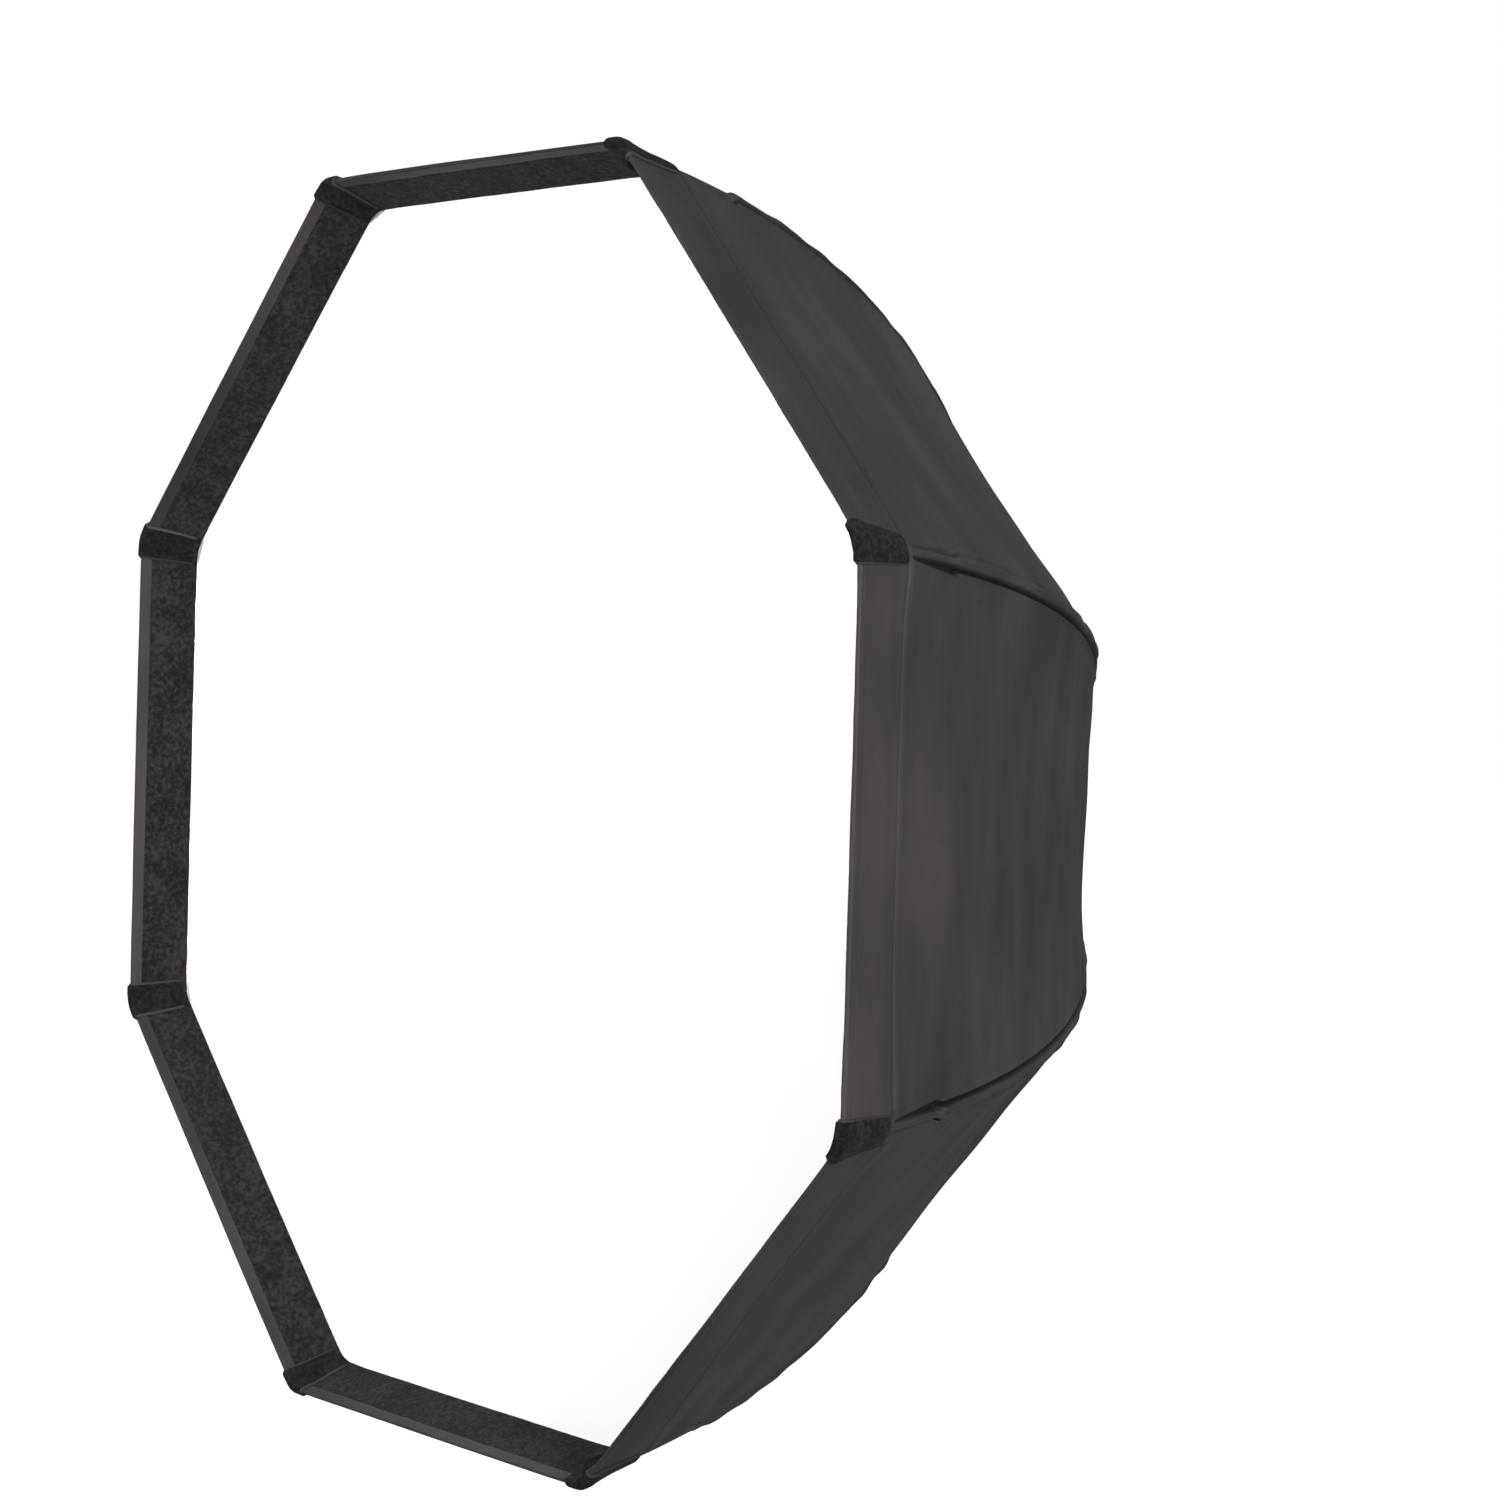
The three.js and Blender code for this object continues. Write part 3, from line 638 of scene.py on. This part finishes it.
def inside_depth(run, v, z, rib):
    """How far the lining and the lip's inner band lie inside the middle surface."""
    panel, across = panel_place(v, rib)
    off = np.abs(z)
    back = LENGTH - run
    free = smooth(0.010, 0.045, off)
    creases = (0.0060 * ridges(run / 0.11, across * 3.0, panel * 3.7)
               + 0.0030 * ridges(run / 0.045 + across * 2, across * 7.0, panel * 6.1 + 20)
               + 0.0016 * ridges(run / 0.021, across * 15.0, panel * 2.3 + 60))
    lining = LAYERS - outside_height(run, v, z, rib) + creases * free * smooth(0.0, 0.05, run)
    over = smooth(0.0145, 0.0045, off) * smooth(SLEEVE_FROM - 0.003, SLEEVE_FROM + 0.003, run)
    lining += (ROD_REACH - lining) * over
    band = 0.0024 + 0.0094 * np.clip(back / LIP_RUN, 0, 1)
    band += 0.0007 * smooth(HEM_FOLD + 0.0008, HEM_FOLD - 0.0008, back)
    band += 0.0003 * noise(run / 0.03, across * 20, panel)
    rod = smooth(0.013, 0.0045, off) * smooth(0.006, 0.016, back)
    band += np.maximum(ROD_REACH - band, 0) * rod
    meet = smooth(LIP_RUN + 0.004, LIP_RUN + 0.0015, back)
    behind = smooth(LIP_RUN + 0.030, LIP_RUN + 0.004, back)
    lining = lining + (0.0118 - lining) * behind * (1 - over)
    return lining * (1 - meet) + band * meet


def gore_points(rib):
    """The gore's outer cloth, rim and inner side as one looped grid, with a spare column at each side."""
    half = on_curve(RUNS)[:, 0] * HALF_PANEL
    z = gore_columns(half)
    v = z / half[:, None]
    run = RUNS[:, None] + 0 * v
    middle = sheet_point(run, v)
    normal = sheet_normal(run, v)
    top = outside_height(run, v, z, rib)
    low = -inside_depth(run, v, z, rib)
    outer = middle + normal * top[..., None]
    inner = middle + normal * low[..., None]
    edge = []
    for k in range(1, EDGE_ROWS + 1):
        turn = math.pi * k / (EDGE_ROWS + 1)
        share = (1 - math.cos(turn)) / 2
        point = outer[-1] * (1 - share) + inner[-1] * share
        edge.append(point + AHEAD * ((top[-1] - low[-1]) / 2 * math.sin(turn))[:, None])
    # Painted shade, on the outer rows only: the cloth's colour is darkened deep in the sewn folds.
    dark = np.zeros((2 * len(RUNS) + EDGE_ROWS, z.shape[1]))
    dark[: len(RUNS)] = painted_fold_shade(run, v, z, rib)
    return np.concatenate((outer, np.array(edge), inner[::-1])), dark


def panel_uvs(points, around, faces, rib):
    """Cloth coordinates of each face's corners, which run on over mid-panel but not over the rib's seam."""
    columns = points.shape[1]
    z = points[..., 2]
    half = z[:, -1:]
    sides = []
    for panel, across in (((rib - 1) % RIBS, 2 * half + z), (rib, z)):
        uv = np.stack(np.broadcast_arrays(around[:, None] + panel * 3.1, across + panel * 1.7), -1)
        sides.append(uv.reshape(-1, 2)[faces])
    left = faces.min(1) % columns < columns // 2
    return np.where(left[:, None, None], sides[0], sides[1])


def make_gore(rib):
    """One gore with its sleeve, lip, hem and lining."""
    points, dark = gore_points(rib)
    normals = grid_normals(points)
    points, dark = points[:, 1:-1], dark[:, 1:-1]
    rows, columns = points.shape[:2]
    faces = loop_grid(rows, columns)
    if normals[ROWS // 2, :, 0].mean() < 0:
        normals = -normals
        faces = faces[:, ::-1]
    around = np.concatenate((RUNS, np.full(EDGE_ROWS, LENGTH), 2 * LENGTH - RUNS[::-1]))
    inside = around[faces.min(1) // columns] - LENGTH
    index = np.where(inside < HEM_FOLD, 0, np.where(inside < LIP_RUN + 0.001, 1, 2))
    obj = mesh_piece(f"gore_cloth_{rib + 1}", turned(points, rib).reshape(-1, 3), faces,
                     [CLOTH, LOOP_TAPE, LINING], index, panel_uvs(points, around, faces, rib),
                     turned(normals, rib).reshape(-1, 3))
    # The folds attribute carries the painted shade of the sewn folds to the cloth's colour.
    obj.data.attributes.new("folds", "FLOAT", "POINT").data.foreach_set("value", dark.ravel())
    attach(obj, f"arm_{rib + 1}")
    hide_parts(f"gore_{rib + 1}")
    squash_to_rib(obj)


def squash_to_rib(obj):
    """Gives a piece its own copy of its mesh."""
    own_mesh(obj)


for k in range(RIBS):
    make_gore(k)

# ---- corner tabs: hook-and-loop tape wrapped over the rim ----

TAB_WIDE = 0.037
TAB_OUTER = 0.060          # its reach over the shell and, next, inside the lip
TAB_INNER = 0.0465
TAB_CORNER = 0.008         # radius of its back corners
TAB_LIFT = 0.0006          # clear of the cloth that it lies on
TAB_MARGIN = 0.0026        # of plain cloth beside the loop patch
TAB_TAPER = 0.72           # of its width, at the back end


def tab_path(rib, z):
    """Points under the tape and the way it faces, round the rim at distances z beside the rib."""
    side = np.clip((np.abs(z) - TAB_WIDE / 2 + TAB_CORNER) / TAB_CORNER, 0, 1)
    cut = TAB_CORNER * (1 - np.sqrt(1 - side ** 2))
    under, facing = [], []
    for share in np.linspace(0, 1, 18):
        run = LENGTH - (TAB_OUTER - cut) * (1 - share)
        near = z * (TAB_TAPER + (1 - TAB_TAPER) * share)
        v = near / (RIM_R * HALF_PANEL)
        n = sheet_normal(run, v)
        under.append(sheet_point(run, v) + n * (outside_height(run, v, near, rib) + TAB_LIFT)[:, None])
        facing.append(n)
    v = z / (RIM_R * HALF_PANEL)
    n = sheet_normal(LENGTH + 0 * z, v)
    top = outside_height(LENGTH, v, z, rib) + TAB_LIFT
    low = -inside_depth(LENGTH, v, z, rib) - TAB_LIFT
    for k in range(1, 8):
        turn = math.pi * k / 8
        way = n * math.cos(turn) + AHEAD * math.sin(turn)
        under.append(sheet_point(LENGTH + 0 * z, v) + n * ((top + low) / 2)[:, None]
                     + way * ((top - low) / 2)[:, None])
        facing.append(way)
    for run in np.linspace(LENGTH, LENGTH - TAB_INNER, 14):
        n = sheet_normal(run + 0 * z, v)
        under.append(sheet_point(run + 0 * z, v) - n * (inside_depth(run, v, z, rib) + TAB_LIFT)[:, None])
        facing.append(-n)
    return np.array(under), np.array(facing)


def make_tab(rib):
    """One corner tab: a raised patch of hook tape with plain cloth beside it."""
    half = TAB_WIDE / 2
    edge = half - TAB_MARGIN
    z = np.concatenate((np.linspace(-half, -edge, 5), np.linspace(-edge, edge, 23)[1:-1],
                        np.linspace(edge, half, 5)))
    under, facing = tab_path(rib, z)
    rows = len(under)
    along = np.linspace(0, 1, rows)[:, None]
    rounded = np.sqrt(np.clip(1 - (np.abs(z) / half) ** 16, 0, 1))[None, :]
    patch = smooth(half - TAB_MARGIN * 0.45, half - TAB_MARGIN, np.abs(z))[None, :]
    patch = patch * smooth(0.0, 0.04, along)
    rod_tip = 0.0020 * np.exp(-((along - 0.40) / 0.12) ** 2) * bump(z, 0.012)[None, :]
    crumple = 0.0005 * noise(along * 9, z[None, :] / 0.012, rib * 8.1)
    thick = 0.0010 * (0.3 + 0.7 * rounded) + 0.0014 * patch + rod_tip + crumple
    points = np.concatenate((under + facing * thick[..., None], under[::-1]))
    faces = facing_out(points.reshape(-1, 3), loop_grid(2 * rows, len(z)))
    column = faces.min(1) % len(z)
    index = np.where((column < 3) | (column > len(z) - 5), 1, 0)
    half_uvs = np.stack(np.broadcast_arrays(along * 0.1, z[None, :]), -1)
    uvs = np.concatenate((half_uvs, half_uvs[::-1])).reshape(-1, 2)[faces]
    obj = mesh_piece(f"corner_tab_{rib + 1}", turned(points, rib).reshape(-1, 3), faces,
                     [HOOK_TAPE, CLOTH], index, uvs)
    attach(obj, f"arm_{rib + 1}")
    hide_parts(f"tab_{rib + 1}")


for k in range(RIBS):
    make_tab(k)

# ---- inside: straps, loops and stitches beside the ribs, and the binding of the rear opening ----

STRAP_WIDE = 0.0075
STRAP_ASIDE = 0.0043       # its middle line from the rib's
STRAP_THICK = 0.0008
ZIGZAG_ASIDE = 0.0165
ZIGZAG_WIDE = 0.0032
ZIGZAG_PITCH = 0.0036
THREAD_WIDE = 0.0006
LOOP_AT_R = 0.127
LOOP_LONG = 0.018
LOOP_STEPS = 33            # round a loop
TAPE_THICK = 0.0009


def inward(run, z, depth, rib):
    """Points beside rib angle 0, this deep inside the shell's middle surface."""
    v = z / (on_curve(run)[..., 0] * HALF_PANEL)
    return sheet_point(run, v) - sheet_normal(run, v) * np.asarray(depth)[..., None]


def lining_depth(run, z, rib):
    """How deep the lining lies at a distance z beside the rib."""
    return inside_depth(run, z / (on_curve(run)[..., 0] * HALF_PANEL), z, rib)


def closed_strip(name, points, rib, material):
    """A closed piece from a grid whose rows run round its section."""
    faces = loop_grid(*points.shape[:2])
    flat = turned(points, rib).reshape(-1, 3)
    obj = mesh_piece(name, flat, facing_out(flat, faces), [material])
    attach(obj, f"arm_{rib + 1}")
    return obj


def laid_tape(run, middle, wide, thick, lift, rib, columns=5):
    """A flat tape on the lining: `middle` is its distance beside the rib at each run."""
    across = np.linspace(-wide / 2, wide / 2, columns)[:, None]
    z = middle[None, :] + across
    run = run[None, :] + 0 * z
    depth = lining_depth(run, z, rib) + lift
    return np.concatenate((inward(run, z, depth + thick, rib), inward(run, z, depth, rib)[::-1]))


def make_strap(rib):
    """The black tape that runs beside a diagonal rib."""
    run = np.linspace(0.004, SLEEVE_FROM - 0.006, 60)
    middle = STRAP_ASIDE + 0.0006 * noise(run / 0.06, rib * 2.3)
    points = laid_tape(run, middle, STRAP_WIDE, STRAP_THICK, 0.0005, rib)
    obj = closed_strip(f"rib_strap_{rib + 1}", points, rib, BLACK_TAPE)
    squash_to_rib(obj)


def make_zigzag(rib):
    """Zigzag stitches on the lining beside a diagonal rib."""
    run = np.arange(0.016, SLEEVE_FROM + 0.050, ZIGZAG_PITCH / 2)
    side = np.where(np.arange(len(run)) % 2 == 0, -1, 1) * ZIGZAG_WIDE / 2
    points = laid_tape(run, ZIGZAG_ASIDE + side, THREAD_WIDE, 0.0004, 0.0001, rib, 3)
    obj = closed_strip(f"zigzag_{rib + 1}", points, rib, THREAD)
    squash_to_rib(obj)


def make_loop(rib):
    """A short tape sewn to the lining at both ends, over a rod."""
    run = run_at_radius(LOOP_AT_R) + np.linspace(-0.5, 0.5, 9) * LOOP_LONG
    foot = 0.0024
    corners = np.array(((-0.0104, foot), (-0.0088, 0.0032), (-0.0070, 0.0075), (-0.0042, 0.0112),
                        (0.0, 0.0124), (0.0042, 0.0112), (0.0072, 0.0075), (0.0092, 0.0036),
                        (0.0108, foot)))
    place = np.linspace(0, len(corners) - 1, LOOP_STEPS)
    path = np.stack([np.interp(place, np.arange(len(corners)), corners[:, i]) for i in (0, 1)], -1)
    for _ in range(3):
        path[1:-1] = (path[:-2] + 2 * path[1:-1] + path[2:]) / 4
    along = np.gradient(path, axis=0)
    along /= np.linalg.norm(along, axis=1, keepdims=True)
    out = np.stack((-along[:, 1], along[:, 0]), -1)
    wave = 0.0004 * noise(np.arange(LOOP_STEPS)[:, None] / 6, run[None, :] / 0.007, rib * 3.3)
    rings = []
    for reach in (TAPE_THICK, 0.0):
        z = path[:, :1] + out[:, :1] * (reach + wave)
        depth = path[:, 1:] + out[:, 1:] * (reach + wave)
        rings.append(inward(run[None, :] + 0 * z, z, depth, rib))
    obj = closed_strip(f"rod_loop_{rib + 1}", np.concatenate((rings[0], rings[1][::-1])), rib,
                       WHITE_TAPE)
    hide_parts(f"rib_loop_{rib + 1}")


for k in range(1, RIBS, 2):
    make_strap(k)
    make_zigzag(k)
    make_loop(k)


def make_binding():
    """Ruffled tape round the shell's rear opening, an eight-sided ring."""
    around = np.linspace(0, 2 * math.pi, 8 * 40, endpoint=False)
    turn = np.linspace(0, 2 * math.pi, 12, endpoint=False)
    flat_angle = (around + STEP / 2) % STEP - STEP / 2
    corner = HEM_R - 0.0043
    rounded = np.clip(np.abs(flat_angle), 0, STEP / 2 - 0.04)
    radius = corner * math.cos(STEP / 2) / np.cos(rounded)
    half_wide = 0.0031 + 0.0005 * noise(around * 17, 1.5)
    half_deep = 0.0021 + 0.0006 * noise(around * 23, 7.5)
    ahead = -0.0042 + 0.0005 * noise(around * 11, 4.5)
    r = radius[None, :] + half_wide * np.cos(turn)[:, None]
    y = -(REAR + ahead) + half_deep * np.sin(turn)[:, None]
    points = np.stack((r * np.cos(around), y, r * np.sin(around)), -1)
    flat = points.reshape(-1, 3)
    faces = facing_out(flat, ring_grid(*points.shape[:2]))
    obj = mesh_piece("rear_binding_tape", flat, faces, [BLACK_TAPE])
    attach(obj, "ring")
    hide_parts("rear_binding")


make_binding()


# ---- diffuser: one cloth, in wedges ----

WEDGES = 24
DIFFUSER_R = 0.5750        # at its corners
SLICES = 12                # of a wedge, side by side


def make_wedge(index):
    """One wedge of the diffuser; the wedges meet edge to edge and look like one cloth at rest."""
    middle = 2 * math.pi * (index + 0.5) / WEDGES
    half = math.pi / WEDGES
    angles = middle + np.linspace(-half, half, SLICES + 1)
    share = np.linspace(0.0, 1, 40)[:, None] ** 0.9
    flat_angle = (angles + STEP / 2) % STEP - STEP / 2
    edge = DIFFUSER_R * math.cos(STEP / 2) / np.cos(flat_angle)
    radius = np.maximum(share, 0.0006) * edge[None, :]
    x, z = radius * np.cos(angles), radius * np.sin(angles)
    front = -(REAR + RIM_AHEAD - DIFFUSER_BACK)
    y = front - 0.0010 * noise(x / 0.16, z / 0.16, 3.0) * (1 - share ** 6)
    face = np.stack((x, y, z), -1)
    hem = 0.0006 * smooth(0.976, 0.982, share) * np.ones_like(x)
    back = face + np.stack((0 * x, 0.0008 + hem, 0 * x), -1)
    face = face - np.stack((0 * x, hem, 0 * x), -1)
    points = np.concatenate((face, back[::-1]))
    faces = loop_grid(len(points), len(angles))
    up = np.zeros_like(points)
    up[: len(face), :, 1], up[len(face):, :, 1] = -1, 1
    flat = points.reshape(-1, 3)
    corners = flat[faces]
    n = np.cross(corners[:, 1] - corners[:, 0], corners[:, 2] - corners[:, 0])
    if n[: (len(face) - 1) * (len(angles) - 1), 1].mean() > 0:
        faces = faces[:, ::-1]
    obj = mesh_piece(f"diffuser_wedge_{index + 1}", flat, faces, [WHITE], normals=up.reshape(-1, 3))
    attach(obj, "diffuser")
    if index == 0:
        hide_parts("diffuser")
    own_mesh(obj)


for k in range(WEDGES):
    make_wedge(k)

# ---- carried CAD nodes: finishes ----


def finish_node(name, material):
    """Gives a CAD node its material."""
    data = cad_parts[name].data
    data.materials.clear()
    data.materials.append(material)


for name in ("mount_insert", "retaining_ring", "speed_ring", "bridge", "runner"):
    finish_node(name, ALLOY)
for name in ("shaft", "release_button"):
    finish_node(name, STEEL)
for k in range(1, RIBS + 1):
    finish_node(f"bracket_{k}", ALLOY)
    finish_node(f"rib_{k}", STEEL)
    finish_node(f"strut_{k}", STEEL)
finish_node("lock_screw", KNOB)

# ---- stage ----


def make_stage():
    """White paper below the object, which only the camera sees as pure white."""
    bpy.ops.mesh.primitive_plane_add(size=60, location=(0, 0, -1.35))
    floor = bpy.context.object
    floor.name = "floor"
    m = Nodes("floor_paper", Specular_IOR_Level=0.1, Emission_Color=(1, 1, 1, 1))
    m.colour(m.ramp(m.noise(0.5, 2), [(0.3, (0.23, 0.23, 0.23)), (0.7, (0.26, 0.26, 0.26))]))
    m.rough(m.noise(3, 2), 0.85, 0.95)
    seen = m.new("LightPath").outputs["Is Camera Ray"]
    m.link(seen, m.shader.inputs["Emission Strength"])
    floor.data.materials.append(m.material)


def make_world():
    """A white surround that lights the object softly, more from above than from below."""
    world = bpy.data.worlds.new("studio")
    world.use_nodes = True
    tree = world.node_tree
    sky = tree.nodes["Background"]
    place = tree.nodes.new("ShaderNodeTexCoord").outputs["Generated"]
    height = tree.nodes.new("ShaderNodeSeparateXYZ")
    tree.links.new(place, height.inputs["Vector"])
    level = tree.nodes.new("ShaderNodeMapRange")
    for name, value in (("From Min", -1), ("From Max", 1), ("To Min", 0.24), ("To Max", 0.29)):
        level.inputs[name].default_value = value
    tree.links.new(height.outputs["Z"], level.inputs["Value"])
    seen = tree.nodes.new("ShaderNodeLightPath").outputs["Is Camera Ray"]
    brightest = tree.nodes.new("ShaderNodeMath")
    brightest.operation = "MAXIMUM"
    tree.links.new(seen, brightest.inputs[0])
    tree.links.new(level.outputs["Result"], brightest.inputs[1])
    tree.links.new(brightest.outputs[0], sky.inputs["Strength"])
    sky.inputs["Color"].default_value = (1, 1, 1, 1)
    bpy.context.scene.world = world
    bpy.context.scene.view_settings.view_transform = "Standard"


def make_light(name, place, target, size, power):
    """A round lamp that faces a target."""
    data = bpy.data.lights.new(name, "AREA")
    data.shape, data.size, data.energy = "DISK", size, power
    light = bpy.data.objects.new(name, data)
    light.location = place
    light.rotation_euler = (Vector(target) - Vector(place)).to_track_quat("-Z", "Y").to_euler()
    bpy.context.scene.collection.objects.link(light)


make_stage()
make_world()
make_light("side", (4.6, -1.1, 0.9), (0.2, -0.3, 0), 1.2, 305)
make_light("front", (-1.2, -6.0, 1.0), (0, -0.5, 0), 2.4, 300)
